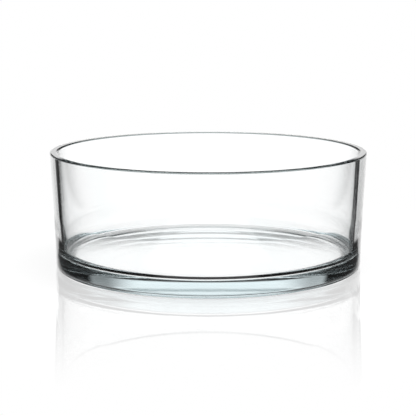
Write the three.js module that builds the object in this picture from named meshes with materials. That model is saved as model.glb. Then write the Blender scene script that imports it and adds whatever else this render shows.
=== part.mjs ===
// A low, wide serving bowl of clear pressed glass. It is one piece of glass, turned about the Z axis.
// Millimetres, +Z up. The origin is the centre of the plane that the bowl stands on.

import * as THREE from 'three';

// Outside
const RIM_DIAMETER = 220; // across the top edge
const HEIGHT = 80.5; // from the resting plane to the top of the rim
const BASE_DIAMETER = 214; // where the side would meet the resting plane if its corner were sharp
const BAND_HEIGHT = 26.5; // the lower part of the side, which stands almost upright
const BAND_DRAFT = 0.4; // how far the side leans out over that height, to leave the mould
const BAND_BEND_RADIUS = 600; // the soft bend where the band turns into the flared wall
const BASE_CORNER_RADIUS = 3.5; // between the side and the resting ring

// Wall, rim and inside
const WALL = 5.5; // thickness of the wall, even from the rim down to the floor
const RIM_OUTER_EDGE_RADIUS = 0.8; // fire-polished edge outside the flat top
const RIM_INNER_EDGE_RADIUS = 1.2; // fire-polished edge inside the flat top
const FLOOR_HEIGHT = 10.4; // from the resting plane to the inner floor
const INNER_FILLET_RADIUS = 7; // between the inner wall and the floor

// Underside
const RING_WIDTH = 8.5; // the flat ring that the bowl stands on
const RECESS_DEPTH = 1.8; // the underside is dished inside the ring, so that only the ring touches

// Facets
const SEGMENTS_ROUND = 96; // about the axis
const CORNER_STEPS = 6; // along each rounded edge
const FILLET_STEPS = 8; // along the inner fillet
const BEND_STEPS = 3; // along the band's soft bend
const DISH_STEPS = 6; // from the middle of the underside out to the ring

const rimRadius = RIM_DIAMETER / 2;
const baseRadius = BASE_DIAMETER / 2;
const floorOuterRadius = baseRadius + BAND_DRAFT * (FLOOR_HEIGHT / BAND_HEIGHT);
const ringInnerRadius = baseRadius - BASE_CORNER_RADIUS - RING_WIDTH;

// The half section's sharp corners. X is the distance from the axis and Y the height.
const ringInner = new THREE.Vector2(ringInnerRadius, 0);
const baseCorner = new THREE.Vector2(baseRadius, 0);
const bandTop = new THREE.Vector2(baseRadius + BAND_DRAFT, BAND_HEIGHT);
const rimOuter = new THREE.Vector2(rimRadius, HEIGHT);
const rimInner = new THREE.Vector2(rimRadius - WALL, HEIGHT);
const floorCorner = new THREE.Vector2(floorOuterRadius - WALL, FLOOR_HEIGHT);
const floorCentre = new THREE.Vector2(0, FLOOR_HEIGHT);

// The points of an arc that is tangent to both lines of a corner, in the order of travel.
function roundedCorner(before, corner, after, radius, steps) {
  const toBefore = before.clone().sub(corner).normalize();
  const toAfter = after.clone().sub(corner).normalize();
  const halfAngle = Math.acos(toBefore.dot(toAfter)) / 2;
  const towardsCentre = toBefore.clone().add(toAfter).normalize();
  const centre = corner.clone().addScaledVector(towardsCentre, radius / Math.sin(halfAngle));
  const start = corner.clone().addScaledVector(toBefore, radius / Math.tan(halfAngle));
  const turn = Math.sign(toBefore.cross(toAfter)) * (2 * halfAngle - Math.PI);
  const points = [];
  for (let step = 0; step <= steps; step += 1) {
    points.push(start.clone().rotateAround(centre, (turn * step) / steps));
  }
  return points;
}

// The dished underside, as an arc of a large circle from the axis to the resting ring's inner edge.
function dishedUnderside() {
  const sphereRadius = (ringInnerRadius ** 2 + RECESS_DEPTH ** 2) / (2 * RECESS_DEPTH);
  const sphereCentreHeight = RECESS_DEPTH - sphereRadius;
  const points = [];
  for (let step = 0; step < DISH_STEPS; step += 1) {
    const radius = (ringInnerRadius * step) / DISH_STEPS;
    const height = sphereCentreHeight + Math.sqrt(sphereRadius ** 2 - radius ** 2);
    points.push(new THREE.Vector2(radius, height));
  }
  return points;
}

// Half section from the middle of the underside, out and up the side, over the rim and down to the inner floor.
function halfSection() {
  return [
    ...dishedUnderside(),
    ringInner,
    ...roundedCorner(ringInner, baseCorner, bandTop, BASE_CORNER_RADIUS, CORNER_STEPS),
    ...roundedCorner(baseCorner, bandTop, rimOuter, BAND_BEND_RADIUS, BEND_STEPS),
    ...roundedCorner(bandTop, rimOuter, rimInner, RIM_OUTER_EDGE_RADIUS, CORNER_STEPS),
    ...roundedCorner(rimOuter, rimInner, floorCorner, RIM_INNER_EDGE_RADIUS, CORNER_STEPS),
    ...roundedCorner(rimInner, floorCorner, floorCentre, INNER_FILLET_RADIUS, FILLET_STEPS),
    floorCentre,
  ];
}

function glassBowl() {
  const geometry = new THREE.LatheGeometry(halfSection(), SEGMENTS_ROUND);
  geometry.rotateX(Math.PI / 2);
  const clearGlass = new THREE.MeshStandardMaterial({ color: 0xe6f0f0, roughness: 0.03, metalness: 0 });
  const mesh = new THREE.Mesh(geometry, clearGlass);
  mesh.name = 'glass_bowl';
  return mesh;
}

const bowl = new THREE.Group();
bowl.add(glassBowl());

export default bowl;
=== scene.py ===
"""A low, wide bowl of clear pressed glass on a pale studio floor: an add-on that is run as a script."""

import math

import bmesh
import bpy
from bpy.props import FloatProperty, FloatVectorProperty, IntProperty, PointerProperty
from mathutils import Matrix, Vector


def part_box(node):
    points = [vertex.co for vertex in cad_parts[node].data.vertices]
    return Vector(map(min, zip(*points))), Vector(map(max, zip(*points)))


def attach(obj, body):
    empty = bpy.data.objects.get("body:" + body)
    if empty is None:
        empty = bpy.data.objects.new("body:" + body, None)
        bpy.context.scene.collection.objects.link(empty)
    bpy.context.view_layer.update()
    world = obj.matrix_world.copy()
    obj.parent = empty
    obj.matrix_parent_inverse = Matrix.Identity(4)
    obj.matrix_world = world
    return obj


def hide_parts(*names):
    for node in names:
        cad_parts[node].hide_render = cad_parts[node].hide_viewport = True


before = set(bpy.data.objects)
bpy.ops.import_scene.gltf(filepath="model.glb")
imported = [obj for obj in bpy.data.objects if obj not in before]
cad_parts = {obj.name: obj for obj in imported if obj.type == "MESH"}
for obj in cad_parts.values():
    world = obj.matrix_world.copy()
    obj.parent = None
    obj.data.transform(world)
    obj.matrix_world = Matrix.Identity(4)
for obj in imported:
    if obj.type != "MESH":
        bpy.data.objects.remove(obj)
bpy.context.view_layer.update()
BOWL_LOW, BOWL_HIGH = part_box("glass_bowl")

bl_info = {
    "name": "Glass bowl",
    "version": (1, 0, 0),
    "blender": (4, 5, 0),
    "location": "3D View > Sidebar > Glass bowl",
    "description": "Makes a clear glass serving bowl and the studio stage that it stands on",
    "category": "Add Mesh",
}

PHOTO_WIDTH = 416  # pixels
SENSOR_WIDTH = 36.0  # millimetres
LAMP_PLACE = (0.15, -0.1, 1.2)
MOST_BOUNCES = 24
GLASS_BOUNCES = 20  # reflections, and passes through a surface

# How finely the half section is rounded
DISH_STEPS = 24
EDGE_STEPS = 10
FILLET_STEPS = 20
LONG_EDGE = 10  # in guard distances: a longer edge gets guard points
MERGE_DISTANCE = 1e-6

# Finish of the glass, and the painted shade on the rim's edges. A pair says where a change starts and where
# it is complete.
STREAK_STRETCH = 0.12  # draws the noise out along the axis
STREAK_FADE = (0.45, 0.7)
RIM_SHADE_DEPTHS = (0.0011, 0.0006)  # below the top of the rim, where the painted shade of the rim's edges comes in
RIM_SHADE_TOP_DEPTHS = (0.00008, 0.00001)  # where the painted shade eases off again on the flat top
RIM_SHADE_TOP_SHARE = 0.5
SMEAR_FADE = (0.5, 0.75)
SMEAR_HEIGHTS = (0.078, 0.07)
RING_HEIGHTS = (0.0004, 0.0001)
GRIT_FADE = (0.4, 0.65)
WAVE_HEIGHTS = (0.02, 0.04)
WAVE_DISTANCE = 0.001

# The floor as the glass shows it: distances from the axis in metres, and brightness
FLOOR_WHITE = (0.9, 0.9, 0.9, 1)
SHEET_BLUR = (-0.005, 0.005)
PAST_BEARINGS = (math.radians(48), math.radians(60))  # past the flags the floor is lit again
PAST_FRONT = (0.0, -0.03)  # and so it is in front
CLOSE_RADII = (0.3, 0.36)  # lit all round, seen through one wall
SKIM_BLUR = (-0.006, 0.006)
FOOT_DARK_FADE = 0.015
OUTER_CENTRE = (0.105, 0.01)  # beside and behind the axis
OUTER_BEARINGS = (math.radians(18), math.radians(53))
OUTER_LEVELS = (0.85, 0.04)
STRIP_FLAT = (0.119, 0.4)  # half width beside the axis, and how it widens to the back
STRIP_STEEP = (0.111, 0.81)
STRIP_LEVELS = (0.95, 0.08)
STRIP_RADII = (0.17, 0.2)  # the strip lies within
BESIDE_BEARINGS = (math.radians(20), math.radians(45))
BESIDE_LEVELS = (1.0, 0.2)
BESIDE_WIDTHS = (0.05, 0.1)  # the base shows dark floor from here on
FAR_SIDE_DIM = 0.15  # from the third reflection on
TWICE_START = 0.131  # a lit strip on the left
TWICE_LEFT = 0.3
TWICE_BLUR = (-0.01, 0.01)
TWICE_LEVEL = 0.5
TWICE_RADII = (0.14, 0.16)
GLOSS_WIDTHS = (0.112, 0.12)  # the floor mirrors the base within
REAR_PLACES = (-0.03, 0.06)  # under the bowl, from front to rear

# The backdrop as the glass shows it: bearings from straight back, sines of elevation, and brightness
LIT_FADE = 0.1  # at the top of the panel
WING_BEARINGS = (math.radians(16), math.radians(29))
LOW_EDGE_FADE = 0.14
LOW_THIRD = 0.03  # below the low line, after three reflections
LOW_FOURTH = 0.6
LOW_FIFTH = 0.9
LOW_FIFTH_BEARINGS = (0.7, 0.5)
LOW_LINE_SLOPE = 0.226
LOW_LINE_BLUR = (-0.01, 0.01)
UPPER_BEARINGS = (1.4, 0.8)  # over the panel, from the fifth reflection on
UPPER_LEVEL = 0.75
OVERHEAD_RISES = (0.8, 0.86)
OVERHEAD_LEVEL = 0.85
SIDEWAYS_WIDTHS = (0.55, 0.7)  # dark to the side after three reflections
SIDEWAYS_RISES = (0.62, 0.56)
SURFACE_RISES = (0.1385, 0.135)  # what the outer surface mirrors
SURFACE_LEVEL = 1.35


def length(name, description, default):
    """A distance in metres."""
    return FloatProperty(name=name, description=description, default=default, unit="LENGTH", precision=4)


def amount(name, description, default):
    """A plain number, not below zero."""
    return FloatProperty(name=name, description=description, default=default, min=0.0, precision=4)


def angle(name, description, degrees):
    """An angle, given in degrees."""
    return FloatProperty(name=name, description=description, default=math.radians(degrees), subtype="ANGLE")


def colour(name, description, default):
    """A linear colour."""
    return FloatVectorProperty(
        name=name, description=description, default=default, subtype="COLOR", min=0, max=1,
    )


class BowlSizes(bpy.types.PropertyGroup):
    """The bowl's half section and how finely it is turned."""

    rim_diameter: length("Rim diameter", "Across the top edge, before it is rounded", 0.22)
    height: length("Height", "From the resting plane to the top of the rim", BOWL_HIGH.z - BOWL_LOW.z)
    base_diameter: length("Base diameter", "Where the side would meet the resting plane", 0.214)
    band_height: length("Band height", "The lower part of the side, which stands almost upright", 0.0265)
    band_draft: length("Band draft", "How far the side leans out over the band", 0.0004)
    bend_radius: length("Bend radius", "Where the band turns into the flared wall", 0.6)
    base_corner: length("Base corner radius", "Between the side and the resting ring", 0.0035)
    wall: length("Wall", "Thickness of the wall from rim to floor", 0.0055)
    rim_outer_edge: length("Rim outer edge radius", "Fire-polished edge outside the flat top", 0.0008)
    rim_inner_edge: length("Rim inner edge radius", "Fire-polished edge inside the flat top", 0.0012)
    floor_height: length("Floor height", "From the resting plane to the inner floor", 0.0104)
    inner_fillet: length("Inner fillet radius", "Between the inner wall and the floor", 0.007)
    ring_width: length("Ring width", "The flat ring that the bowl stands on", 0.0085)
    recess_depth: length("Recess depth", "How far the underside is dished inside the ring", 0.0018)
    guard: length("Guard distance", "Extra edge beside each rounding, which keeps flats flat", 0.0003)
    steps_round: IntProperty(
        name="Steps round", description="Facets about the axis", default=224, min=48, max=512,
    )


class GlassFinish(bpy.types.PropertyGroup):
    """Clear pressed glass, faintly blue-green where it is thick."""

    clear: colour("Clear glass", "Colour of the clearest glass", (1.0, 1.0, 1.0))
    cord: colour("Streak", "Colour of the faint streaks in the melt", (0.985, 0.995, 0.995))
    # Painted shade: not a colour of the glass but a dark line on the rim's rounded edges, in place of the
    # dark lines that refraction shows there
    edge: colour("Rim edge", "Colour of the fire-polished edges of the rim", (0.13, 0.16, 0.16))
    tint: colour("Body tint", "Colour that light takes on inside the glass", (0.80, 0.93, 0.96))
    tint_density: amount("Tint density", "Strength of the body tint", 5.0)
    ior: amount("Index of refraction", "Soda-lime glass", 1.52)
    polish: amount("Polish", "Roughness of the fire-polished surface", 0.0)
    smear: amount("Smear", "Extra roughness where hands and cloths have been", 0.015)
    scuff: amount("Scuff", "Extra roughness on the worn resting ring", 0.05)
    wave: amount("Mould waviness", "Strength of the waves that the mould leaves", 0.003)
    streak_scale: amount("Streak scale", "How fine the streaks are", 55.0)
    smear_scale: amount("Smear scale", "How fine the smears are", 28.0)
    scuff_scale: amount("Scuff scale", "How fine the scuffs are", 900.0)
    wave_scale: amount("Wave scale", "How fine the mould waves are", 30.0)


class StudioSetup(bpy.types.PropertyGroup):
    """Floor, backdrop, lamp and camera."""

    floor_half: length("Floor half width", "From the middle of the floor to its edge", 9.0)
    floor_gap: length("Floor gap", "Air under the resting ring, so that no two faces share a plane", 0.00005)
    surround: amount("Surroundings", "Brightness of the dark studio round the set", 0.004)
    glow: amount("Lit white", "Brightness of the lit white as the glass passes it on", 1.15)
    back_glow: amount("Lit backdrop", "Brightness of the lit backdrop as the glass passes it on", 1.0)
    lit_rise: amount("Lit height", "Sine of the elevation up to which the backdrop is lit", 0.45)
    left_edge: angle("Left flag", "Where the left flag starts on the backdrop", 35.0)
    left_wing: amount("Left wing", "Brightness of the backdrop beside the left flag", 0.5)
    right_edge: angle("Right flag", "Where the right flag starts on the backdrop", 35.5)
    right_wing: amount("Right wing", "Brightness of the backdrop beside the right flag", 0.28)
    low_edge: angle("Low flag", "Where the flags start below the low line of the backdrop", 22.0)
    edge_blur: angle("Flag blur", "Half width of the flags' soft edges on the backdrop", 2.0)
    low_line: amount("Low line", "Sine of the elevation of the low line of the backdrop", 0.165)
    sheet_start_left: length("Sheet start left", "Lit floor left of the axis, seen straight on", 0.086)
    sheet_start_right: length("Sheet start right", "Lit floor right of the axis, seen straight on", 0.0986)
    sheet_left: amount("Sheet left", "How the lit floor widens to the left, seen straight through", 0.69)
    sheet_right: amount("Sheet right", "How the lit floor widens to the right, seen straight through", 0.43)
    skim_start: length("Skim start", "Lit floor on either side of the axis, seen along the wall", 0.126)
    skim_left: amount("Skim left", "How the lit floor widens to the left, seen along the wall", 0.6)
    skim_right: amount("Skim right", "How the lit floor widens to the right, seen along the wall", 0.725)
    foot_dark: length("Foot shade", "Radius within which the floor round the foot is dark", 0.15)
    # Painted shadow: as the glass shows it, the floor's glow fades out under the resting ring, from the
    # inner radius to the outer one, and is lighter under the rear of the ring
    painted_shadow_inner: length("Shelter inner", "Radius where the floor under the bowl starts to darken", 0.092)
    painted_shadow_outer: length("Shelter outer", "Radius where the floor under the bowl is dark", 0.0965)
    inner_glow: amount("Inner floor", "Brightness of the lit floor seen through the bowl's own floor", 1.12)
    rear_painted_shadow: amount("Rear shelter", "Brightness of the floor under the rear of the resting ring", 0.5)
    skim_level: amount("Skim level", "Brightness of the lit floor seen along the wall", 0.78)
    mirror: amount("Floor polish", "How much of the near floor mirrors the bowl", 0.33)
    matte: amount("Floor shading", "How much of the near floor takes real light and shadow", 0.12)
    mirror_rough: amount("Floor mirror roughness", "Blur of the floor's mirror image", 0.02)
    near_inner: length("Near floor", "Radius with full polish", 0.12)
    near_outer: length("Far floor", "Radius past which the floor is plain", 0.3)
    lamp_power: FloatProperty(
        name="Lamp power", description="Soft lamp overhead", default=25.0, unit="POWER",
    )
    lamp_size: length("Lamp size", "Side of the soft lamp", 0.8)
    camera_distance: length("Camera distance", "In front of the bowl's axis", 0.8608)
    camera_height: length("Camera height", "Above the resting plane", 0.194)
    camera_pitch: FloatProperty(
        name="Camera pitch", description="Below level", default=0.178, subtype="ANGLE",
    )
    focal_pixels: amount("Focal length", "In pixels of the picture", 1241.7)
    shift_pixels: FloatProperty(
        name="Shift", description="Sideways, in pixels of the picture", default=-0.33,
    )


class NodeBench:
    """Short ways to place and join shader nodes in one tree."""

    def __init__(self, tree):
        self.tree = tree
        tree.nodes.clear()

    def add(self, kind, settings=None, **inputs):
        """A new node with its settings and inputs. An input's name has _ for each space."""
        node = self.tree.nodes.new(kind)
        for key, value in (settings or {}).items():
            setattr(node, key, value)
        for key, value in inputs.items():
            self.feed(node.inputs[key.replace("_", " ")], value)
        return node

    def feed(self, socket, value):
        """Joins a node's output to the socket, or sets a plain value on it."""
        if isinstance(value, bpy.types.NodeSocket):
            self.tree.links.new(value, socket)
        else:
            socket.default_value = value

    def math(self, operation, *values):
        node = self.add("ShaderNodeMath", {"operation": operation})
        for socket, value in zip(node.inputs, values):
            self.feed(socket, value)
        return node.outputs[0]

    def times(self, first, *others):
        product = first
        for value in others:
            product = self.math("MULTIPLY", product, value)
        return product

    def largest(self, first, *others):
        highest = first
        for value in others:
            highest = self.math("MAXIMUM", highest, value)
        return highest

    def less(self, value, taken):
        return self.math("SUBTRACT", value, taken)

    def at_least(self, count, number):
        """1 where a whole count is that number or more."""
        return self.math("GREATER_THAN", count, number - 0.5)

    def at_most(self, count, number):
        """1 where a whole count is that number or less."""
        return self.math("LESS_THAN", count, number + 0.5)

    def fade(self, value, start, end, low=0.0, high=1.0):
        """A soft change from low to high while the value goes from start to end."""
        node = self.add("ShaderNodeMapRange", {"interpolation_type": "SMOOTHSTEP"})
        for key, number in (("From Min", start), ("From Max", end), ("To Min", low), ("To Max", high)):
            node.inputs[key].default_value = number
        self.feed(node.inputs["Value"], value)
        return node.outputs[0]

    def pick(self, factor, first, second):
        """The first value where the factor is 0 and the second where it is 1."""
        node = self.add("ShaderNodeMix")
        for index, value in ((0, factor), (2, first), (3, second)):
            self.feed(node.inputs[index], value)
        return node.outputs[0]

    def mix_colour(self, factor, first, second):
        node = self.add("ShaderNodeMix", {"data_type": "RGBA"})
        for index, value in ((0, factor), (6, first), (7, second)):
            self.feed(node.inputs[index], value)
        return node.outputs[2]

    def mix_shader(self, factor, first, second):
        node = self.add("ShaderNodeMixShader")
        for socket, value in zip(node.inputs, (factor, first, second)):
            self.feed(socket, value)
        return node.outputs[0]

    def noise(self, vector, scale, detail, distortion=0.0):
        node = self.add(
            "ShaderNodeTexNoise", Vector=vector, Scale=scale, Detail=detail, Distortion=distortion,
        )
        return node.outputs["Fac"]

    def glow(self, strength):
        return self.add("ShaderNodeEmission", Strength=strength).outputs[0]

    def gloss(self, roughness):
        return self.add("ShaderNodeBsdfGlossy", Color=(1, 1, 1, 1), Roughness=roughness).outputs[0]

    def place(self):
        """Object coordinates: the vector and its three parts."""
        spot = self.add("ShaderNodeTexCoord").outputs["Object"]
        return (spot, *self.add("ShaderNodeSeparateXYZ", Vector=spot).outputs)


def rounding_offset(corner, radius):
    """How far along its two edges a wire corner is cut for an arc of that radius."""
    before, after = (edge.other_vert(corner).co - corner.co for edge in corner.link_edges)
    return radius / math.tan(before.angle(after) / 2)


def guard_flats(bm, guard):
    """Puts a point close to each end of every long edge, so that shading bends only in the roundings."""
    for edge in [e for e in bm.edges if e.calc_length() > LONG_EDGE * guard]:
        start, end = edge.verts
        split = bmesh.utils.edge_split(edge, start, guard / edge.calc_length())[1]
        rest = bm.edges.get((split, end))
        bmesh.utils.edge_split(rest, end, guard / rest.calc_length())


def turn_bowl(sizes):
    """The bowl's closed mesh: a wire half section with rounded corners, turned about the axis."""
    base = sizes.base_diameter / 2
    rim = sizes.rim_diameter / 2
    ring_inner = base - sizes.base_corner - sizes.ring_width
    floor_outer = base + sizes.band_draft * sizes.floor_height / sizes.band_height
    dish_radius = (ring_inner ** 2 + sizes.recess_depth ** 2) / (2 * sizes.recess_depth)
    bm = bmesh.new()
    middle = bm.verts.new((0, 0, sizes.recess_depth))
    dish = bmesh.ops.spin(
        bm, geom=[middle], cent=(0, 0, sizes.recess_depth - dish_radius), axis=(0, 1, 0),
        angle=math.asin(ring_inner / dish_radius), steps=DISH_STEPS,
    )
    last = dish["geom_last"][0]
    last.co.z = 0.0
    corners = (
        (base, 0, sizes.base_corner, EDGE_STEPS),
        (base + sizes.band_draft, sizes.band_height, sizes.bend_radius, EDGE_STEPS),
        (rim, sizes.height, sizes.rim_outer_edge, EDGE_STEPS),
        (rim - sizes.wall, sizes.height, sizes.rim_inner_edge, EDGE_STEPS),
        (floor_outer - sizes.wall, sizes.floor_height, sizes.inner_fillet, FILLET_STEPS),
    )
    rounded = []
    for radius, height, rounding, segments in corners:
        corner = bm.verts.new((radius, 0, height))
        bm.edges.new((last, corner))
        rounded.append((corner, rounding, segments))
        last = corner
    bm.edges.new((last, bm.verts.new((0, 0, sizes.floor_height))))
    cuts = [(corner, rounding_offset(corner, rounding), segments) for corner, rounding, segments in rounded]
    for corner, offset, segments in cuts:
        bmesh.ops.bevel(
            bm, geom=[corner], offset=offset, offset_type="OFFSET", affect="VERTICES",
            segments=segments, profile=0.5, material=-1,
        )
    guard_flats(bm, sizes.guard)
    bmesh.ops.spin(
        bm, geom=bm.verts[:] + bm.edges[:], cent=(0, 0, 0), axis=(0, 0, 1),
        angle=math.tau, steps=sizes.steps_round, use_merge=True,
    )
    bmesh.ops.remove_doubles(bm, verts=bm.verts, dist=MERGE_DISTANCE)
    bmesh.ops.recalc_face_normals(bm, faces=bm.faces)
    for face in bm.faces:
        face.smooth = True
    mesh = bpy.data.meshes.new("glass_bowl_turned")
    bm.to_mesh(mesh)
    bm.free()
    return mesh


def clear_glass(finish, sizes):
    """Clear glass with faint streaks, mould waves, smears, a scuffed resting ring, and painted shade: a dark
    line on the rim's edges.
    """
    material = bpy.data.materials.new("clear_pressed_glass")
    material.use_nodes = True
    bench = NodeBench(material.node_tree)
    spot, _, _, height = bench.place()

    upright = bench.add("ShaderNodeMapping", Vector=spot, Scale=(1.0, 1.0, STREAK_STRETCH)).outputs[0]
    streaks = bench.fade(bench.noise(upright, finish.streak_scale, detail=2.0), *STREAK_FADE)
    body = bench.mix_colour(streaks, (*finish.clear, 1), (*finish.cord, 1))
    # Painted shade: the rim's rounded edges take the dark rim colour, at half strength on the flat top
    rounded = bench.fade(height, *(sizes.height - depth for depth in RIM_SHADE_DEPTHS))
    rim_shade_on_top = bench.fade(height, *(sizes.height - depth for depth in RIM_SHADE_TOP_DEPTHS), 1.0, RIM_SHADE_TOP_SHARE)
    body = bench.mix_colour(bench.times(rounded, rim_shade_on_top), body, (*finish.edge, 1))

    smears = bench.fade(bench.noise(spot, finish.smear_scale, detail=5.0, distortion=1.2), *SMEAR_FADE)
    smeared = bench.times(smears, bench.fade(height, *SMEAR_HEIGHTS), finish.smear)
    grit = bench.fade(bench.noise(spot, finish.scuff_scale, detail=3.0), *GRIT_FADE)
    scuffed = bench.times(bench.fade(height, *RING_HEIGHTS), grit, finish.scuff)
    roughness = bench.math("ADD", bench.math("ADD", smeared, scuffed), finish.polish)

    waves = bench.noise(upright, finish.wave_scale, detail=1.0)
    waves = bench.times(waves, bench.fade(height, *WAVE_HEIGHTS))
    bump = bench.add("ShaderNodeBump", Strength=finish.wave, Distance=WAVE_DISTANCE, Height=waves).outputs[0]

    shader = bench.add(
        "ShaderNodeBsdfPrincipled", Base_Color=body, Roughness=roughness, IOR=finish.ior, Normal=bump,
        Metallic=0.0, Transmission_Weight=1.0,
    )
    absorb = bench.add("ShaderNodeVolumeAbsorption", Color=(*finish.tint, 1), Density=finish.tint_density)
    output = bench.add("ShaderNodeOutputMaterial")
    bench.feed(output.inputs["Surface"], shader.outputs[0])
    bench.feed(output.inputs["Volume"], absorb.outputs[0])
    return material


def flat_sheet(name, corners, material):
    """A four-sided sheet of the stage."""
    bm = bmesh.new()
    bm.faces.new([bm.verts.new(corner) for corner in corners])
    mesh = bpy.data.meshes.new(name)
    bm.to_mesh(mesh)
    bm.free()
    mesh.materials.append(material)
    sheet = bpy.data.objects.new(name, mesh)
    bpy.context.scene.collection.objects.link(sheet)
    return sheet


def floor_finish(studio, sizes):
    """White floor, polished near the bowl. By way of the glass it shows lit white between dark flags."""
    material = bpy.data.materials.new("pale_floor")
    material.use_nodes = True
    bench = NodeBench(material.node_tree)
    path = bench.add("ShaderNodeLightPath").outputs
    reflections = path["Glossy Depth"]
    passes = path["Transmission Depth"]
    spot, across, back, _ = bench.place()
    radius = bench.add("ShaderNodeVectorMath", {"operation": "LENGTH"}, Vector=spot).outputs["Value"]
    wide = bench.math("ABSOLUTE", across)
    on_left = bench.math("LESS_THAN", across, 0.0)

    def outside(start, left, right):
        """How far a spot lies outside a lit sheet whose sides widen towards the back."""
        side = bench.times(bench.pick(on_left, right, left), back)
        return bench.less(bench.less(wide, start), side)

    def bearing(start, behind):
        """Angle from straight back, about a spot on either side of the bowl."""
        return bench.math("ARCTAN2", bench.less(wide, start), bench.less(back, behind))

    # As the camera sees it: white, with a little real light and shadow and a soft mirror image near the bowl
    near = bench.fade(radius, studio.near_inner, studio.near_outer, 1.0, 0.0)
    matte = bench.add("ShaderNodeBsdfDiffuse", Color=FLOOR_WHITE).outputs[0]
    shown = bench.mix_shader(bench.times(near, studio.matte), bench.glow(1.0), matte)
    shown = bench.mix_shader(bench.times(near, studio.mirror), shown, bench.gloss(studio.mirror_rough))

    one_wall = bench.at_most(passes, 2)
    off_surface = bench.at_most(passes, 0)
    reflected = bench.at_least(reflections, 1)
    often = bench.at_least(reflections, 2)

    # Straight through the glass: a lit sheet behind the bowl, and lit floor past the flags and close by
    sheet_start = bench.pick(on_left, studio.sheet_start_right, studio.sheet_start_left)
    sheet = outside(sheet_start, studio.sheet_left, studio.sheet_right)
    sheet = bench.fade(sheet, *SHEET_BLUR, 1.0, 0.0)
    past = bench.fade(bearing(studio.sheet_start_left, 0.0), *PAST_BEARINGS)
    past = bench.largest(past, bench.fade(back, *PAST_FRONT))
    close_by = bench.times(one_wall, bench.fade(radius, *CLOSE_RADII, 1.0, 0.0))
    straight = bench.largest(sheet, past, close_by)

    # Mirrored once inside the wall, or by the outer surface
    skim = outside(studio.skim_start, studio.skim_left, studio.skim_right)
    skim = bench.fade(skim, *SKIM_BLUR, studio.skim_level, 0.0)
    skim = bench.times(skim, bench.fade(radius, studio.foot_dark, studio.foot_dark + FOOT_DARK_FADE))
    outer = bench.fade(bearing(*OUTER_CENTRE), *OUTER_BEARINGS, *OUTER_LEVELS)
    strips = [outside(start, widening, widening) for start, widening in (STRIP_FLAT, STRIP_STEEP)]
    strip = bench.fade(bench.math("MINIMUM", *strips), *SKIM_BLUR, *STRIP_LEVELS)
    outer = bench.pick(bench.fade(radius, *STRIP_RADII), strip, outer)
    mirrored = bench.pick(off_surface, skim, outer)

    # Mirrored twice or more inside the wall
    twice = bench.fade(outside(TWICE_START, TWICE_LEFT, 0.0), *TWICE_BLUR, TWICE_LEVEL, 0.0)
    twice = bench.times(twice, on_left, bench.fade(radius, *TWICE_RADII))
    mirrored = bench.pick(often, mirrored, twice)

    # Mirrored inside the base
    beside = bench.fade(bearing(0.0, 0.0), *BESIDE_BEARINGS, *BESIDE_LEVELS)
    beside = bench.times(bench.fade(wide, *BESIDE_WIDTHS), beside)
    far_side = bench.pick(beside, studio.inner_glow, 0.0)
    far_side = bench.times(far_side, bench.pick(bench.at_most(reflections, 2), FAR_SIDE_DIM, 1.0))

    lit = bench.pick(reflected, straight, bench.pick(one_wall, far_side, mirrored))
    lit = bench.glow(bench.largest(bench.times(lit, studio.glow), studio.surround))
    glossy = bench.times(often, one_wall, bench.fade(wide, *GLOSS_WIDTHS, 1.0, 0.0))
    through = bench.mix_shader(glossy, lit, bench.gloss(0.0))

    # Under the bowl: lit in the middle; a painted shadow under the resting ring, dark except at its rear;
    # and dark for light that the base has led along by many reflections
    guided = bench.times(bench.at_least(reflections, 6), one_wall)
    painted_ring_shadow = bench.pick(bench.fade(back, *REAR_PLACES), studio.surround, studio.rear_painted_shadow)
    in_painted_shadow = bench.fade(radius, studio.painted_shadow_inner, studio.painted_shadow_outer)
    below = bench.pick(in_painted_shadow, studio.inner_glow, painted_ring_shadow)
    below = bench.glow(bench.times(below, bench.less(1.0, guided)))
    under = bench.math("LESS_THAN", radius, sizes.base_diameter / 2)
    through = bench.mix_shader(under, through, below)

    output = bench.add("ShaderNodeOutputMaterial")
    bench.feed(output.inputs["Surface"], bench.mix_shader(path["Is Camera Ray"], through, shown))
    return material


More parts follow.
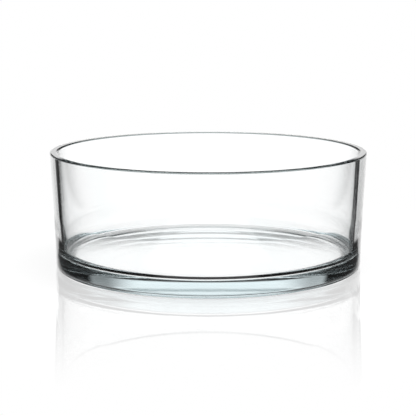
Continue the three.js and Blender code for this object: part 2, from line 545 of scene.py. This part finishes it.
def studio_world(studio):
    """White for the camera. By way of the glass it shows a lit backdrop between dark flags."""
    world = bpy.data.worlds.new("studio")
    world.use_nodes = True
    bench = NodeBench(world.node_tree)
    path = bench.add("ShaderNodeLightPath").outputs
    way = bench.add("ShaderNodeTexCoord").outputs["Generated"]
    across, back, rise = bench.add("ShaderNodeSeparateXYZ", Vector=way).outputs
    bearing = bench.math("ARCTAN2", across, back)
    aside = bench.math("ABSOLUTE", bearing)
    thrice = bench.at_least(path["Glossy Depth"], 3)
    fourth = bench.at_least(path["Glossy Depth"], 4)
    fifth = bench.at_least(path["Glossy Depth"], 5)

    def panel(side, edge, wing):
        """The backdrop on one side: full in the middle, a dimmer wing, then a dark flag."""
        dimming = bench.fade(side, *WING_BEARINGS, 1.0, wing)
        flag = bench.fade(side, edge - studio.edge_blur, edge + studio.edge_blur, 1.0, 0.0)
        return bench.times(dimming, flag)

    # Above the low line: the panel, and over it what many reflections reach
    left = panel(bench.times(bearing, -1.0), studio.left_edge, studio.left_wing)
    right = panel(bearing, studio.right_edge, studio.right_wing)
    ahead = bench.fade(aside, *UPPER_BEARINGS, 0.0, UPPER_LEVEL)
    overhead = bench.fade(rise, *OVERHEAD_RISES, 0.0, OVERHEAD_LEVEL)
    upper = bench.times(fifth, bench.largest(ahead, overhead))
    in_panel = bench.fade(rise, studio.lit_rise, studio.lit_rise - LIT_FADE)
    high_part = bench.pick(in_panel, upper, bench.times(left, right))

    # Below it: a narrower panel, and a level for each further reflection
    low_fifth = bench.fade(aside, *LOW_FIFTH_BEARINGS, 0.0, LOW_FIFTH)
    low_third = bench.pick(fourth, LOW_THIRD, bench.pick(fifth, LOW_FOURTH, low_fifth))
    low_part = bench.fade(aside, studio.low_edge, studio.low_edge - LOW_EDGE_FADE)
    low_part = bench.pick(thrice, low_part, low_third)
    line = bench.pick(thrice, studio.low_line, bench.times(back, LOW_LINE_SLOPE))
    above = bench.fade(bench.less(rise, line), *LOW_LINE_BLUR)
    backdrop = bench.times(bench.pick(above, low_part, high_part), studio.back_glow)

    # Through both walls: white, except far to the side after three reflections
    both_walls = bench.at_least(path["Transmission Depth"], 3)
    sideways = bench.fade(bench.math("ABSOLUTE", across), *SIDEWAYS_WIDTHS)
    sideways = bench.times(sideways, bench.fade(rise, *SIDEWAYS_RISES))
    behind = bench.times(bench.less(1.0, bench.times(sideways, thrice)), studio.inner_glow)
    lit = bench.pick(both_walls, backdrop, behind)

    # Off the outer surface: a polished one mirrors only the low part, and the floor mirrors white
    off_surface = bench.times(path["Is Glossy Ray"], bench.at_most(path["Transmission Depth"], 0))
    polished = bench.fade(rise, *SURFACE_RISES, 0.0, SURFACE_LEVEL)
    mirrored = bench.pick(path["Is Singular Ray"], 1.0, polished)
    pale = bench.pick(path["Is Camera Ray"], bench.pick(off_surface, lit, mirrored), 1.0)
    strength = bench.largest(pale, studio.surround)
    sky = bench.add("ShaderNodeBackground", Color=(1, 1, 1, 1), Strength=strength)
    output = bench.add("ShaderNodeOutputWorld")
    bench.feed(output.inputs["Surface"], sky.outputs[0])
    return world


class GLASSBOWL_OT_bowl(bpy.types.Operator):
    """Turns the glass bowl and gives it its finish"""

    bl_idname = "glassbowl.bowl"
    bl_label = "Make the bowl"
    bl_options = {"REGISTER", "UNDO"}

    def execute(self, context):
        sizes = context.scene.bowl_sizes
        bowl = bpy.data.objects.new("turned_bowl", turn_bowl(sizes))
        context.scene.collection.objects.link(bowl)
        bowl.data.materials.append(clear_glass(context.scene.bowl_finish, sizes))
        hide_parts("glass_bowl")
        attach(bowl, "root")
        return {"FINISHED"}


class GLASSBOWL_OT_stage(bpy.types.Operator):
    """Sets up the pale floor, the backdrop, the soft lamp and the camera"""

    bl_idname = "glassbowl.stage"
    bl_label = "Set the stage"
    bl_options = {"REGISTER", "UNDO"}

    def execute(self, context):
        scene = context.scene
        studio = scene.bowl_studio
        half = studio.floor_half
        level = -studio.floor_gap
        corners = ((-half, -half, level), (half, -half, level), (half, half, level), (-half, half, level))
        flat_sheet("floor", corners, floor_finish(studio, scene.bowl_sizes))
        scene.world = studio_world(studio)

        lamp = bpy.data.lights.new("soft_lamp", "AREA")
        lamp.energy = studio.lamp_power
        lamp.size = studio.lamp_size
        lamp_object = bpy.data.objects.new("soft_lamp", lamp)
        lamp_object.location = LAMP_PLACE
        lamp_object.visible_glossy = False
        lamp_object.visible_transmission = False
        scene.collection.objects.link(lamp_object)

        camera = bpy.data.cameras.new("camera")
        camera.sensor_width = SENSOR_WIDTH
        camera.lens = studio.focal_pixels * SENSOR_WIDTH / PHOTO_WIDTH
        camera.shift_x = studio.shift_pixels / PHOTO_WIDTH
        camera_object = bpy.data.objects.new("camera", camera)
        camera_object.location = (0, -studio.camera_distance, studio.camera_height)
        camera_object.rotation_euler = (math.pi / 2 - studio.camera_pitch, 0, 0)
        scene.collection.objects.link(camera_object)
        scene.camera = camera_object

        scene.view_settings.view_transform = "Standard"
        scene.cycles.max_bounces = MOST_BOUNCES
        scene.cycles.glossy_bounces = GLASS_BOUNCES
        scene.cycles.transmission_bounces = GLASS_BOUNCES
        return {"FINISHED"}


class GLASSBOWL_PT_panel(bpy.types.Panel):
    """Sizes, finish and studio of the glass bowl"""

    bl_label = "Glass bowl"
    bl_idname = "GLASSBOWL_PT_panel"
    bl_space_type = "VIEW_3D"
    bl_region_type = "UI"
    bl_category = "Glass bowl"

    def draw(self, context):
        scene = context.scene
        for operator, group in (
            (GLASSBOWL_OT_bowl, scene.bowl_sizes),
            (GLASSBOWL_OT_bowl, scene.bowl_finish),
            (GLASSBOWL_OT_stage, scene.bowl_studio),
        ):
            box = self.layout.box()
            for key in group.__annotations__:
                box.prop(group, key)
            box.operator(operator.bl_idname)


CLASSES = (BowlSizes, GlassFinish, StudioSetup, GLASSBOWL_OT_bowl, GLASSBOWL_OT_stage, GLASSBOWL_PT_panel)


def register():
    for cls in CLASSES:
        bpy.utils.register_class(cls)
    bpy.types.Scene.bowl_sizes = PointerProperty(type=BowlSizes)
    bpy.types.Scene.bowl_finish = PointerProperty(type=GlassFinish)
    bpy.types.Scene.bowl_studio = PointerProperty(type=StudioSetup)


def unregister():
    del bpy.types.Scene.bowl_studio
    del bpy.types.Scene.bowl_finish
    del bpy.types.Scene.bowl_sizes
    for cls in reversed(CLASSES):
        bpy.utils.unregister_class(cls)


def main():
    register()
    bpy.ops.glassbowl.bowl()
    bpy.ops.glassbowl.stage()


if __name__ == "__main__":
    main()
